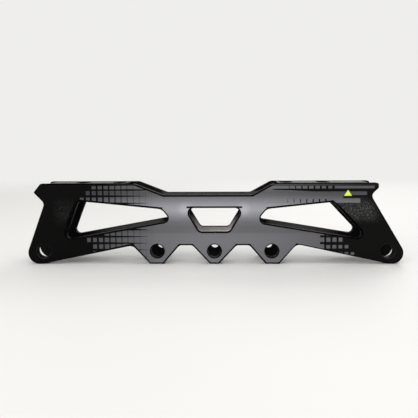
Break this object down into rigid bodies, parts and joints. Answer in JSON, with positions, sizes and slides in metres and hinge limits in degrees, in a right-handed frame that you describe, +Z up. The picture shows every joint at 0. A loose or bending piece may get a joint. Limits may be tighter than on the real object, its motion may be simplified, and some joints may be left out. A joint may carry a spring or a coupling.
{
  "type": "inline skate frame",
  "caption": "Low inline skate frame: windowed side plates, slotted boot decks at both ends, open channel and a row of axle bores.",
  "frame": {"origin": "on the floor under the middle axle station, midway between the side plates", "axes": "+X towards the front end, +Y from the outer plate to the inner plate, +Z up to the boot faces"},
  "size_m": [0.2985, 0.037, 0.0642],
  "materials": {
    "printed_plate": "satin dark coat, black at the ends, printed in grey between",
    "black_plate": "satin black coat",
    "deck_grey": "fine blasted, warm grey",
    "liner_steel": "dull, machined",
    "seat_steel": "blackened, satin",
    "insert_steel": "turned, satin",
    "screw_black": "black oxide",
    "dowel_steel": "ground"
  },
  "bodies": {
    "root": {"outer_side_plate": "printed_plate", "inner_side_plate": "black_plate", "rear_mount_deck": "deck_grey", "front_mount_deck": "deck_grey", "rear_outer_slot_liner": "liner_steel", "rear_inner_slot_liner": "liner_steel", "front_inner_slot_liner": "liner_steel", "front_outer_slot_liner": "liner_steel", "axle_seat_1": "seat_steel", "axle_seat_2": "seat_steel", "axle_seat_3": "seat_steel", "axle_seat_4": "seat_steel", "axle_seat_5": "seat_steel", "axle_insert_1": "insert_steel", "axle_insert_2": "insert_steel", "axle_insert_3": "insert_steel", "axle_insert_4": "insert_steel", "axle_insert_5": "insert_steel", "rear_deck_screws": "screw_black", "front_deck_screws": "screw_black", "rear_deck_dowels": "dowel_steel", "front_deck_dowels": "dowel_steel"}
  },
  "joints": []
}
